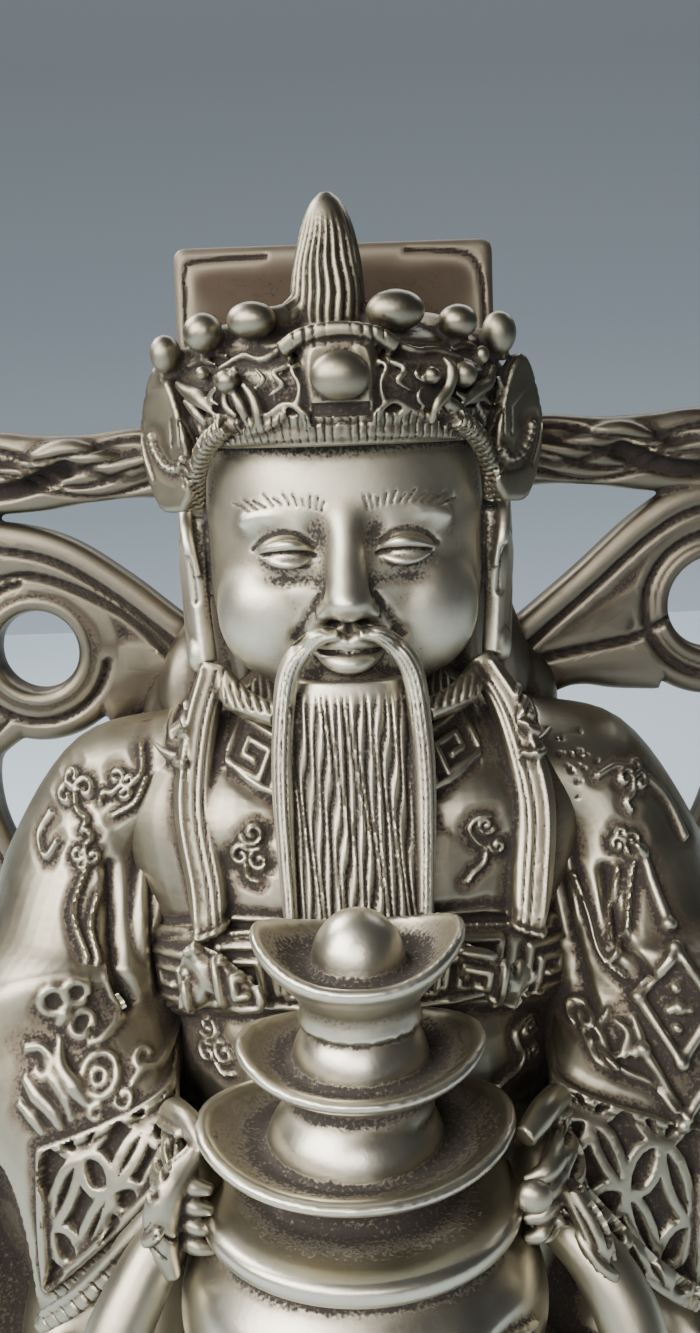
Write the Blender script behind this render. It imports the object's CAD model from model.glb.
"""Wealth god statue: one hollow casting in white copper, about 22 cm tall, with dark patina in its hollows.

Every number of the carving is in millimetres of a statue 218.9 mm tall, measured from the middle of the
underside of its base: x to the viewer's right, y away from the viewer, z up.
"""

import math

import bmesh
import bpy
import numpy as np
from mathutils import Matrix, Vector
from mathutils.bvhtree import BVHTree


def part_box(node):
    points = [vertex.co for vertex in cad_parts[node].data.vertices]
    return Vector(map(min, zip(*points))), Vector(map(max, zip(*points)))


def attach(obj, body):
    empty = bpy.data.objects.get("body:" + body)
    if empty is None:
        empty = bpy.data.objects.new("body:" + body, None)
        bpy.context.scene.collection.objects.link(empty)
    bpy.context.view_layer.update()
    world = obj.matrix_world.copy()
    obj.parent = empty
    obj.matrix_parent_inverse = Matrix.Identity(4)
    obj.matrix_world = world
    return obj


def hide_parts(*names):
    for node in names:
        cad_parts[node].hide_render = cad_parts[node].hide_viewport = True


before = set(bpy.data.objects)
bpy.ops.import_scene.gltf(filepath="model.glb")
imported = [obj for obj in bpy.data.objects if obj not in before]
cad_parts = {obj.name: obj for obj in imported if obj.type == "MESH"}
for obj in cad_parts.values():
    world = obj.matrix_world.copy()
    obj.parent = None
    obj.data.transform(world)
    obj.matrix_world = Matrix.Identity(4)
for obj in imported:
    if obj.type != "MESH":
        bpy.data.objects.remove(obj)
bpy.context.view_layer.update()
foot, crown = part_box("figure")

# The low base: an oval plate with a stepped foot, cast in one with the robe that spreads over it. It is
# smooth on top and was dressed with a file round its edge.
STATUE_HEIGHT = 218.945
MM = (crown.z - foot.z) / STATUE_HEIGHT
BASE_WIDTH = 116.0
BASE_DEPTH = 120.0
BASE_HEIGHT = 11.0
BASE_FOOT = 4.0
BASE_STEP = 2.5


def deselected():
    """Leaves edit mode and drops every selection, so that the next operator acts on its own work alone."""
    if bpy.context.object and bpy.context.object.mode != "OBJECT":
        bpy.ops.object.mode_set(mode="OBJECT")
    bpy.ops.object.select_all(action="DESELECT")


def pick_faces(piece, wanted):
    """Selects the faces whose middle and normal pass the test, in edit mode."""
    bpy.ops.mesh.select_mode(type="FACE")
    bpy.ops.mesh.select_all(action="DESELECT")
    bm = bmesh.from_edit_mesh(piece.data)
    for face in bm.faces:
        face.select_set(wanted(face.calc_center_median(), face.normal))
    bmesh.update_edit_mesh(piece.data)


def settle(piece):
    """Puts a finished piece's place and size into its mesh."""
    deselected()
    piece.select_set(True)
    bpy.context.view_layer.objects.active = piece
    bpy.ops.object.transform_apply(location=True, rotation=True, scale=True)


def apply_modifiers(piece):
    deselected()
    piece.select_set(True)
    bpy.context.view_layer.objects.active = piece
    for name in [modifier.name for modifier in piece.modifiers]:
        bpy.ops.object.modifier_apply(modifier=name)


class Socket:
    """A shader socket that can be worked with as a number."""

    def __init__(self, tree, link):
        self.tree = tree
        self.link = link

    def maths(self, operation, first, second):
        return add_node(self.tree, "ShaderNodeMath", {"operation": operation}, {0: first, 1: second})

    def __add__(self, other):
        return self.maths("ADD", self, other)

    def __sub__(self, other):
        return self.maths("SUBTRACT", self, other)

    def __mul__(self, other):
        return self.maths("MULTIPLY", self, other)

    def __rsub__(self, other):
        return self.maths("SUBTRACT", other, self)

    __radd__ = __add__

    def between(self, start, end):
        """0 up to the start, 1 from the end on, and smooth from one to the other."""
        settings = {"interpolation_type": "SMOOTHSTEP"}
        values = {"Value": self, "From Min": start, "From Max": end}
        return add_node(self.tree, "ShaderNodeMapRange", settings, values)


def add_node(tree, kind, settings, inputs, output=0):
    """A node with its settings made first and then its sockets, each from a value or a link."""
    node = tree.nodes.new(kind)
    for name, value in settings.items():
        if name == "stops":
            ramp = node.color_ramp.elements
            while len(ramp) < len(value):
                ramp.new(0.5)
            for stop, (place, colour) in zip(ramp, value):
                stop.position, stop.color = place, colour
        else:
            setattr(node, name, value)
    for place, value in inputs.items():
        if isinstance(value, Socket):
            tree.links.new(value.link, node.inputs[place])
        else:
            node.inputs[place].default_value = value
    return Socket(tree, node.outputs[output])


def blended(tree, share, first, second):
    """One colour passing into another."""
    settings = {"data_type": "RGBA"}
    return add_node(tree, "ShaderNodeMix", settings, {0: share, 6: first, 7: second}, output=2)


def aged_white_copper(name, silver, rubbed, film, gloss=0.40):
    """Cast white copper: rubbed bright on the high places, with a thin warm film over the open faces and a
    dry, sandy black-brown tarnish in the hollows. The attributes hollow and worn come from the carved shape
    itself."""
    material = bpy.data.materials.new(name)
    material.use_nodes = True
    tree = material.node_tree
    shader = tree.nodes["Principled BSDF"]
    place = add_node(tree, "ShaderNodeTexCoord", {}, {}, output=3)
    hollow = add_node(tree, "ShaderNodeAttribute", {"attribute_name": "hollow"}, {}, output=2)
    worn = add_node(tree, "ShaderNodeAttribute", {"attribute_name": "worn"}, {}, output=2)
    noise = {"noise_dimensions": "3D"}
    sand = add_node(tree, "ShaderNodeTexNoise", noise, {"Vector": place, "Scale": 1900.0, "Detail": 2.0})
    cloudy = add_node(tree, "ShaderNodeTexNoise", noise, {"Vector": place, "Scale": 130.0, "Detail": 4.0})
    broad = add_node(tree, "ShaderNodeTexNoise", noise, {"Vector": place, "Scale": 28.0, "Detail": 3.0})
    dark = (hollow + (sand - 0.5) * 1.7 + (cloudy - 0.5) * 0.35).between(0.30, 0.98)
    filmed = (broad * 0.5 + cloudy * 0.4 + hollow * 0.9 - worn * 0.6).between(0.18, 0.72) * film
    bright = (worn + (cloudy - 0.5) * 0.30).between(0.22, 0.80)
    metal = blended(tree, filmed, silver, BROWN_FILM)
    metal = blended(tree, bright * 0.7, metal, rubbed)
    colour = blended(tree, dark * 0.93, metal, TARNISH)
    tree.links.new(colour.link, shader.inputs["Base Color"])
    roughness = gloss + dark * 0.38 + filmed * 0.14 + (cloudy - 0.5) * 0.25 - bright * 0.06
    tree.links.new(roughness.link, shader.inputs["Roughness"])
    tree.links.new((1.0 - dark * 0.62).link, shader.inputs["Metallic"])
    fine = add_node(tree, "ShaderNodeTexNoise", noise, {"Vector": place, "Scale": 1500.0, "Detail": 3.0})
    height = fine * (0.22 + dark * 0.9) + cloudy * 0.35
    bump = add_node(tree, "ShaderNodeBump", {}, {"Strength": 0.40, "Distance": 0.00022, "Height": height})
    tree.links.new(bump.link, shader.inputs["Normal"])
    return material


SILVER = (0.43, 0.392, 0.300, 1.0)
RUBBED = (0.68, 0.640, 0.530, 1.0)
BROWN_FILM = (0.150, 0.118, 0.086, 1.0)
TARNISH = (0.030, 0.023, 0.021, 1.0)
STATUE_PIECES = []


def dressed(piece, material):
    """Gives a finished piece its metal, and ties it to the casting that it is part of."""
    piece.data.materials.clear()
    piece.data.materials.append(material)
    deselected()
    piece.select_set(True)
    bpy.context.view_layer.objects.active = piece
    bpy.ops.object.shade_smooth_by_angle(angle=math.radians(60))
    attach(piece, "root")
    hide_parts("figure")
    STATUE_PIECES.append(piece)
    return piece


deselected()
bpy.ops.mesh.primitive_cylinder_add(
    vertices=96, radius=BASE_DEPTH / 2 * MM, depth=BASE_FOOT * MM, location=(0, 0, BASE_FOOT / 2 * MM)
)
low_base = bpy.context.object
low_base.name = "low_base"
bpy.ops.object.mode_set(mode="EDIT")
pick_faces(low_base, lambda middle, normal: normal.z > 0.9)
bpy.ops.mesh.inset(thickness=BASE_STEP * MM)
bpy.ops.mesh.extrude_region_move(TRANSFORM_OT_translate={"value": (0, 0, (BASE_HEIGHT - BASE_FOOT) * MM)})
bpy.ops.mesh.inset(thickness=6 * MM)
bpy.ops.mesh.inset(thickness=20 * MM)
bpy.ops.mesh.select_all(action="SELECT")
bpy.ops.transform.resize(value=(BASE_WIDTH / BASE_DEPTH, 1, 1))
bpy.ops.object.mode_set(mode="OBJECT")
rounded = low_base.modifiers.new("Filed edge", "BEVEL")
rounded.width = 0.9 * MM
rounded.segments = 3
rounded.limit_method = "ANGLE"
apply_modifiers(low_base)
settle(low_base)
dressed(low_base, aged_white_copper("aged white copper base", SILVER, RUBBED, film=0.8))


# The robe's skirt, lap and boots: heavy cloth that falls from the belt over crossed shins to the base, cast
# with deep folds. The photograph's edge cuts it off below the bowl, so it is plainer here, with long pleats
# at the back.
SKIRT_CELL = 0.85
SKIRT_FACES = 55000


def flowing(points, count):
    """The points of a smooth curve through the given ones, as rows of an array."""
    rows = np.array(points, float)
    padded = np.vstack([2 * rows[0] - rows[1], rows, 2 * rows[-1] - rows[-2]])
    places = np.linspace(0, len(rows) - 1, count)
    i = np.minimum(places.astype(int), len(rows) - 2)
    t = (places - i)[:, None]
    a, b, c, d = padded[i], padded[i + 1], padded[i + 2], padded[i + 3]
    bend = (2 * a - 5 * b + 4 * c - d) * t**2 + (3 * b - a - 3 * c + d) * t**3
    return 0.5 * (2 * b + (c - a) * t + bend)


def oval(centre, first, second, power=2.0, count=40):
    """A ring of points round a centre, with two half-axis vectors. A power over 2 squares it off."""
    turn = np.linspace(0, 2 * np.pi, count, endpoint=False)
    across = np.sign(np.cos(turn)) * np.abs(np.cos(turn)) ** (2 / power)
    along = np.sign(np.sin(turn)) * np.abs(np.sin(turn)) ** (2 / power)
    centre, first, second = (np.array(value, float) for value in (centre, first, second))
    return centre + across[:, None] * first + along[:, None] * second


def loft(rings):
    """A closed form over rings that have as many points each, as its points and faces."""
    count = len(rings[0])
    faces = [tuple(range(count))[::-1], tuple(range((len(rings) - 1) * count, len(rings) * count))]
    for row in range(len(rings) - 1):
        for i in range(count):
            j = (i + 1) % count
            faces.append((row * count + i, row * count + j, (row + 1) * count + j, (row + 1) * count + i))
    return np.vstack(rings), faces


def body_of(stations, count=44, between=6, power=2.0):
    """A form through stations of (centre, first half-axis, second half-axis), smoothed between them."""
    rows = flowing([list(c) + list(u) + list(v) for c, u, v in stations], (len(stations) - 1) * between + 1)
    return loft([oval(row[:3], row[3:6], row[6:], power, count) for row in rows])


def upright(rows):
    """Level stations one above the other, from rows of depth, height, half-width and half-depth."""
    return [((0, y, z), (wide, 0, 0), (0, deep, 0)) for y, z, wide, deep in rows]


def ball(centre, radii, turn=(0, 0, 0), sides=28):
    """An ellipsoid, turned in degrees about x, then y, then z."""
    rings = []
    for level in np.linspace(-0.985, 0.985, sides // 2):
        wide = math.sqrt(1 - level**2)
        rings.append(oval((0, 0, level), (wide, 0, 0), (0, wide, 0), count=sides))
    points, faces = loft(rings)
    turned = Matrix.Identity(3)
    for angle, axis in zip(turn[::-1], "ZYX"):
        turned = turned @ Matrix.Rotation(math.radians(angle), 3, axis)
    return points * np.array(radii, float) @ np.array(turned).T + np.array(centre, float), faces


def strand(points, radii, sides=10, smooth=7, flat=1.0, facing=(0, -1, 0)):
    """A tapering strand through the points, with a radius at each. A flat share under 1 thins it where it
    faces."""
    rows = flowing([list(p) + [r] for p, r in zip(points, radii)], (len(points) - 1) * smooth + 1)
    runs = np.gradient(rows[:, :3], axis=0)
    rings = []
    for row, run in zip(rows, runs):
        run = run / (np.linalg.norm(run) + 1e-9)
        across = np.cross(run, np.array(facing, float))
        across /= np.linalg.norm(across) + 1e-9
        out = np.cross(across, run)
        radius = max(row[3], 0.12)
        rings.append(oval(row[:3], across * radius, out * radius * flat, count=sides))
    return loft(rings)


def band(points, widths, thickness, facing=(0, -1, 0), smooth=8):
    """A flat band along the points: its half-width lies across the run and square to the way it faces."""
    rows = flowing([list(p) + [w] for p, w in zip(points, widths)], (len(points) - 1) * smooth + 1)
    rings = []
    for row, run in zip(rows, np.gradient(rows[:, :3], axis=0)):
        across = np.cross(run / np.linalg.norm(run), np.array(facing, float))
        across /= np.linalg.norm(across)
        rings.append(oval(row[:3], across * row[3], np.array(facing, float) * thickness / 2, 3.5, 20))
    return loft(rings)


def skinned(name, forms, cell, ease=3, extra=()):
    """One closed skin over all the forms, as fine as the cell says, as the wax was joined before
    casting."""
    points, faces, first = [], [], 0
    for form_points, form_faces in forms:
        points.append(form_points)
        faces += [tuple(first + i for i in face) for face in form_faces]
        first += len(form_points)
    mesh = bpy.data.meshes.new(name)
    mesh.from_pydata((np.vstack(points) * MM).tolist(), [], faces)
    piece = bpy.data.objects.new(name, mesh)
    bpy.context.scene.collection.objects.link(piece)
    deselected()
    for part in (*extra, piece):
        part.select_set(True)
    bpy.context.view_layer.objects.active = piece
    if extra:
        bpy.ops.object.join()
    joined = piece.modifiers.new("One skin", "REMESH")
    joined.mode = "VOXEL"
    joined.voxel_size = cell * MM
    eased = piece.modifiers.new("Eased", "SMOOTH")
    eased.factor = 0.5
    eased.iterations = ease
    apply_modifiers(piece)
    return piece


def points_of(piece):
    """The piece's points in millimetres and their normals."""
    count = len(piece.data.vertices)
    points, normals = np.empty(count * 3, np.float32), np.empty(count * 3, np.float32)
    piece.data.vertices.foreach_get("co", points)
    piece.data.vertex_normals.foreach_get("vector", normals)
    return points.reshape(-1, 3) / MM, normals.reshape(-1, 3)


def reshape(piece, points):
    piece.data.vertices.foreach_set("co", (points * MM).astype(np.float32).ravel())
    piece.data.update()


def thinned(piece, faces):
    """Takes out the triangles that a smooth place can spare."""
    piece.data.calc_loop_triangles()
    made = len(piece.data.loop_triangles)
    if made > faces:
        thin = piece.modifiers.new("Thinned", "DECIMATE")
        thin.ratio = faces / made
    apply_modifiers(piece)


def cut_level(piece, height, keep_below):
    """Saws a piece off at a height and closes the cut."""
    deselected()
    piece.select_set(True)
    bpy.context.view_layer.objects.active = piece
    bpy.ops.object.mode_set(mode="EDIT")
    bpy.ops.mesh.select_all(action="SELECT")
    bpy.ops.mesh.bisect(
        plane_co=(0, 0, height * MM), plane_no=(0, 0, 1), use_fill=True, clear_outer=keep_below,
        clear_inner=not keep_below
    )
    bpy.ops.object.mode_set(mode="OBJECT")


TRUNK = upright(
    [
        (14, 8, 48, 43), (14, 30, 49, 42), (14, 52, 47, 39), (16, 70, 42, 35), (16, 86, 38, 33),
        (16, 100, 39, 31), (17, 114, 44, 29), (18, 124, 45, 26), (18, 132, 37, 22), (19, 138, 24, 18),
        (19, 143, 17, 15), (19, 156, 16, 15)
    ]
)
BELLY = ball((0, 2, 80), (33, 24, 26), sides=48)
skirt_forms = [body_of(TRUNK[:7], count=64, power=2.2), BELLY]
for side in (-1, 1):
    skirt_forms.append(
        body_of(
            [
                ((side * 24, 22, 42), (20, 0, 0), (0, 0, 24)),
                ((side * 34, 2, 42), (19, 0, 0), (0, 4, 22)),
                ((side * 41, -18, 40), (17, -4, 0), (0, 8, 19)),
                ((side * 43, -34, 34), (13, -5, 0), (0, 8, 13)),
            ]
        )
    )
    skirt_forms.append(
        body_of(
            [
                ((side * 38, -18, 43), (17, 0, 0), (0, 18, 4)),
                ((side * 38, -22, 30), (16.5, 0, 0), (0, 19, 1)),
                ((side * 37, -21, 16), (17.5, 0, 0), (0, 21, 0)),
                ((side * 36, -20, 8), (18.5, 0, 0), (0, 22, 0)),
            ]
        )
    )
    for place, (out, forward) in enumerate(((24, -42), (33, -44), (42, -41), (50, -33), (54, -22))):
        knee = (side * (30 + place * 4.5), forward + 7 + place, 47 - place * 2)
        hem = (side * out, forward, 10)
        skirt_forms.append(strand([knee, (side * out, forward + 2, 28), hem], [1.5, 2.6, 3.2], sides=14))
    skirt_forms.append(ball((side * 31, -40, 14), (9, 16, 8), turn=(8, 0, side * -14)))
    skirt_forms.append(ball((side * 28, -50, 17), (7, 7, 6)))
    fold = [
        (26.5, -30.5, 73 if side < 0 else 68), (33.5, -37, 63), (37.5, -42, 53.5), (34.5, -47, 43),
        (26.5, -50, 34)
    ]
    skirt_forms.append(strand([(side * x, y, z) for x, y, z in fold], [3.5, 4.5, 5.0, 4.6, 3.0], sides=18))
skirt_forms.append(
    body_of(
        upright([(-22, 52, 20, 14), (-28, 40, 22, 14), (-34, 24, 21, 13), (-36, 8, 23, 15)])
    )
)
for turn in range(-60, 61, 20):
    c, s = math.cos(math.radians(turn)), math.sin(math.radians(turn))
    pleat = [(47 * s, 13 + 40 * c, 9), (48 * s, 13 + 40 * c, 34), (43 * s, 14 + 36 * c, 62)]
    skirt_forms.append(strand(pleat, [5.5, 4.5, 2.5], sides=14))
skirt = skinned("robe_skirt", skirt_forms, SKIRT_CELL, ease=4)
cut_level(skirt, 75, keep_below=True)


def near_lines(flat, lines, reach):
    """How far each flat point is from the nearest of the lines, where that is less than the reach."""
    found = np.full(len(flat), float(reach))
    for line in lines:
        line = np.asarray(line, float)
        close = ((flat > line.min(0) - reach) & (flat < line.max(0) + reach)).all(1)
        close = np.flatnonzero(close)
        if not len(close):
            continue
        spots, best = flat[close], found[close]
        for start, end in zip(line, line[1:]):
            run = end - start
            share = np.clip((spots - start) @ run / max(run @ run, 1e-9), 0, 1)
            best = np.minimum(best, np.linalg.norm(spots - start - share[:, None] * run, axis=1))
        found[close] = best
    return found


def ridge(distance, half_width, soft):
    """1 on a line, 0 beside it, with a rounded shoulder between."""
    t = np.clip((half_width + soft - distance) / (2 * soft), 0, 1)
    return t * t * (3 - 2 * t)


def carve(points, normals, lines, half_width, height, soft=0.28, where=None, axes=(0, 2), ground=0.0):
    """Raises lines from a face, or cuts them in with a height under 0. A ground sinks the field close round
    them."""
    if where is None:
        where = normals[:, 1] < -0.12
    chosen = np.flatnonzero(where)
    distance = near_lines(points[chosen][:, axes], lines, half_width + soft + 2.4)
    lift = height * ridge(distance, half_width, soft)
    lift -= ground * ridge(distance, half_width + 1.5, 0.8) * (1 - ridge(distance, half_width, soft))
    points[chosen] += normals[chosen] * lift[:, None]
    return points


points, normals = points_of(skirt)
low = points[:, 2] < 60
sway = points[:, 0] * 0.55 + 1.4 * np.sin(points[:, 2] * 0.07)
folds = 0.55 * np.sin(sway) * np.clip((58 - points[:, 2]) / 20, 0, 1)
points[low] += normals[low] * folds[low][:, None]
hem_line = [[(x, 14.5 + 0.8 * math.sin(x * 0.3)) for x in range(-60, 61, 4)]]
points = carve(points, normals, hem_line, 0.7, 0.55, soft=0.4, where=points[:, 2] < 30)
reshape(skirt, points)
thinned(skirt, SKIRT_FACES)
ROBE_METAL = aged_white_copper(
    "aged white copper robe", (0.265, 0.237, 0.175, 1.0), (0.45, 0.415, 0.32, 1.0), film=0.85, gloss=0.45
)
dressed(skirt, ROBE_METAL)


# The robe's upper half: chest, collar, key-fret yoke, belt of square fret tiles with its knotted cloth, and
# the two long straps that hang from the hat. The relief is low and flat-topped, on a ground punched with
# fine sand.
ROBE_CELL = 0.34
ROBE_FACES = 160000
BELT_HEIGHT = 96.0
BELT_RISE = 5.5

robe_forms = [body_of(TRUNK[3:], count=64, power=2.2), BELLY]
robe_forms += [ball((side * 17, 4, 118), (17, 13, 14), sides=40) for side in (-1, 1)]
belt_rings = []
for up, out in ((-7.5, 0.6), (-6.5, 2.0), (-3.5, 2.4), (3.5, 2.4), (6.2, 2.0), (7.2, 0.6)):
    belt_ring = oval((0, 13.5, BELT_HEIGHT + up), (38.5 + out, 0, 0), (0, 30.0 + out, 0), 2.1, 80)
    belt_ring[:, 2] += BELT_RISE * np.clip((-6 - belt_ring[:, 1]) / 12, 0, 1)
    belt_rings.append(belt_ring)
robe_forms.append(loft(belt_rings))
STRAPS = {
    -1: ((22.5, 145), (25, 136), (26, 124), (24, 112), (23.6, 104.5)),
    1: ((21.5, 145), (26, 137), (29, 124), (28, 112), (26.6, 104)),
}
STRAP_DEPTHS = (7, 3, -3, -8, -12)
for side, strap in STRAPS.items():
    hung = [(side * x, y, z) for (x, z), y in zip(strap, STRAP_DEPTHS)]
    robe_forms.append(band(hung, [2.2, 3.0, 3.4, 3.4, 2.6], 6.6, (0, -0.92, 0.38)))
    robe_forms.append(
        strand([(side * 22, 6, 144), (side * 18, 0, 140.5), (side * 12, -3, 138.5)], [2.0, 2.4, 2.0])
    )
robe_forms.append(
    strand(
        [(-27, -16, 104), (-23, -18, 102), (-19, -20, 99.5), (-15, -21, 98)], [2.6, 3.2, 3.0, 1.6], flat=0.6
    )
)
robe_forms.append(
    strand([(-24, -17.5, 101), (-26, -18, 98), (-28, -17.5, 95.5)], [2.2, 2.4, 0.8], flat=0.6)
)
robe_forms.append(
    strand(
        [(15, -20, 105), (19, -20, 101.5), (23, -19, 99), (26, -17.5, 101)], [1.8, 3.2, 3.0, 1.8], flat=0.6
    )
)
robe_forms.append(
    strand([(20, -19.8, 101), (21.5, -19.5, 97.5), (24.5, -18.5, 95)], [2.0, 2.2, 0.9], flat=0.6)
)
robe = skinned("robe_body", robe_forms, ROBE_CELL, ease=3)
cut_level(robe, 74, keep_below=False)


def arc(x, z, radius, start, end, count=14, squash=1.0):
    """Points of a round line about a place, between two angles in degrees."""
    turns = np.radians(np.linspace(start, end, count))
    return np.column_stack([x + radius * np.cos(turns), z + radius * squash * np.sin(turns)])


def curl(x, z, size, start, turns, side=1, inner=0.2, count=22):
    """A line that winds in to its middle, mirrored where side is -1."""
    share = np.linspace(0, 1, count)
    angle = np.radians(start) + side * 2 * np.pi * turns * share
    reach = size * (1 - (1 - inner) * share)
    return np.column_stack([x + reach * np.cos(angle), z + reach * np.sin(angle)])


def placed(lines, x, z, size=1.0, turn=0.0, side=1):
    """A motif's lines, sized, mirrored, turned and put in their place."""
    c, s = math.cos(math.radians(turn)), math.sin(math.radians(turn))
    made = []
    for line in lines:
        line = np.asarray(line, float) * size
        across = side * line[:, 0]
        made.append(np.column_stack([x + across * c - line[:, 1] * s, z + across * s + line[:, 1] * c]))
    return made


def fret(width, height):
    """A square meander that winds in from its outer corner."""
    w, h = width / 2, height / 2
    outer = [(-w, -h), (-w, h), (w, h), (w, -h), (-w * 0.45, -h)]
    return [outer + [(-w * 0.45, h * 0.35), (w * 0.42, h * 0.35), (w * 0.42, -h * 0.35), (0, -h * 0.35)]]


TREFOIL = [
    curl(-0.5, 0.25, 0.5, 20, 0.95, 1),
    curl(0.5, 0.25, 0.5, 160, 0.95, -1),
    curl(0, 0.85, 0.48, 250, 0.95, 1),
    flowing([(0, 0.3), (0.1, -0.35), (-0.2, -0.85), (0.15, -1.3)], 12),
]
EMBLEM_LEFT = [
    curl(0.15, 0.85, 0.55, 200, -1.15, -1),
    curl(-0.4, -0.15, 0.5, 70, 1.0, 1),
    curl(0.45, -0.35, 0.5, 120, -1.0, -1),
    flowing([(-0.4, 0.3), (0.0, 0.1), (0.45, 0.15)], 8),
    flowing([(-0.2, -0.6), (-0.1, -1.1), (0.35, -1.25)], 8),
]
EMBLEM_RIGHT = [
    curl(0.35, 0.95, 0.42, 330, 1.1, -1),
    flowing(
        [
            (0.55, 1.3), (0.0, 1.25), (-0.4, 0.8), (-0.1, 0.25), (0.3, -0.1), (0.25, -0.7), (-0.25, -1.1),
            (-0.55, -1.45)
        ],
        26
    ),
    curl(0.85, -0.05, 0.36, 180, 1.0, 1)
]
points, normals = points_of(robe)
points -= normals * (0.18 * np.clip((75.6 - points[:, 2]) / 0.8, 0, 1))[:, None]
ahead = (normals[:, 1] < -0.1) & (points[:, 1] < 12)
emblems = placed(EMBLEM_LEFT, -16.9, 118.0, 3.5) + placed(EMBLEM_RIGHT, 19.4, 117.6, 3.6)
emblems += placed(EMBLEM_LEFT, -24.0, 86.6, 3.4, 30) + placed(EMBLEM_RIGHT, 25.0, 84.0, 3.6, -20)
points = carve(points, normals, emblems, 0.40, 0.62, soft=0.34, where=ahead, ground=0.22)

collar = []
inner = ahead & (np.abs(points[:, 0]) < 20.6)
for side in (-1, 1):
    edge = np.array([(10.5, 126.0), (14, 127.2), (17.5, 129.1), (20.5, 131.4)]) * (side, 1)
    collar += [flowing(edge, 16)]
    collar += placed(fret(8.6, 6.6), side * 15.6, 132.4, 1.0, side * 24, side)
points = carve(points, normals, collar, 0.55, 0.6, soft=0.36, where=inner, ground=0.25)
ribs = []
for side in (-1, 1):
    for x in np.arange(11.4, 22, 1.5):
        ribs.append([(side * x, 138.4 + 0.1 * x), (side * (x + 0.7), 141.4 + 0.1 * x)])
points = carve(points, normals, ribs, 0.22, -0.5, soft=0.36, where=inner)

yoke = []
for side in (-1, 1):
    yoke += [arc(side * 29.5, 139.5, 8.6, 205, 335)]
    yoke += placed(fret(6.4, 5.4), side * 29.5, 137.6, 1.0, side * -30, side)
shoulders = (normals[:, 1] < 0.3) & (np.abs(points[:, 0]) > 27.0)
points = carve(points, normals, yoke, 0.5, 0.6, soft=0.36, where=shoulders, ground=0.25)

belt_where = ahead & (np.abs(points[:, 2] - BELT_HEIGHT - 2.5) < 12)
tiles = []
for side in (-1, 1):
    for x, up in ((8, 5.5), (17.6, 5.0), (31.0, 0.8)):
        tiles += placed(fret(8.4, 8.0), side * x, BELT_HEIGHT + up, 1.0, side * -9, side)
belt_edges = []
for off in (-6.2, 6.1):
    rises = [(x, min(max((36 - abs(x)) / 16, 0), 1)) for x in range(-40, 41, 2)]
    belt_edges.append([(x, BELT_HEIGHT + off + BELT_RISE * rise) for x, rise in rises])
points = carve(points, normals, tiles, 0.62, 0.6, soft=0.36, where=belt_where, ground=0.4)
points = carve(points, normals, belt_edges, 0.55, 0.5, soft=0.36, where=belt_where, ground=0.3)

grooves, rims = [], []
for side, strap in STRAPS.items():
    line = flowing(np.array(strap) * (side, 1), 30)
    grooves += [line + (side * off, 0) for off in (-1.7, -0.4)]
    rims.append(line + (side * 1.9, 0))
points = carve(points, normals, grooves, 0.10, -0.34, soft=0.36, where=ahead & (points[:, 1] < 9))
points = carve(points, normals, rims, 0.35, 0.45, soft=0.5, where=ahead & (points[:, 1] < 9))
reshape(robe, points)
thinned(robe, ROBE_FACES)
dressed(robe, ROBE_METAL)


# The two wide court sleeves with the shoulders and the hands: cloud scrolls, a beast's head and a rod
# lozenge in relief, deep slits between the folds, and cuffs with a sunk lattice of round coins. They are
# cast with the robe.
SLEEVE_CELL = 0.36
SLEEVE_FACES = 130000
LEAN = 1.6
RIGHT_SLOPE = 2.6


def front_of(forms):
    """A function that gives how far forward the forms reach at a place seen from the front."""
    points, faces, first = [], [], 0
    for form_points, form_faces in forms:
        points += form_points.tolist()
        faces += [tuple(first + i for i in face) for face in form_faces]
        first += len(form_points)
    tree = BVHTree.FromPolygons(points, faces)

    def front(x, z):
        hit = tree.ray_cast(Vector((x, -200, z)), Vector((0, 1, 0)))[0]
        return hit.y if hit else 0.0

    return front


def laid(front, flat_points, radii, proud=0.3, flat=1.0):
    """A strand laid on the front of the forms through points of x and z."""
    rows = flowing(flat_points, len(flat_points) * 4)
    sizes = np.interp(np.linspace(0, 1, len(rows)), np.linspace(0, 1, len(radii)), radii)
    run = [(x, front(x, z) - size * proud, z) for (x, z), size in zip(rows, sizes)]
    return strand(run, sizes, sides=9, smooth=1, flat=flat)


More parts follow.
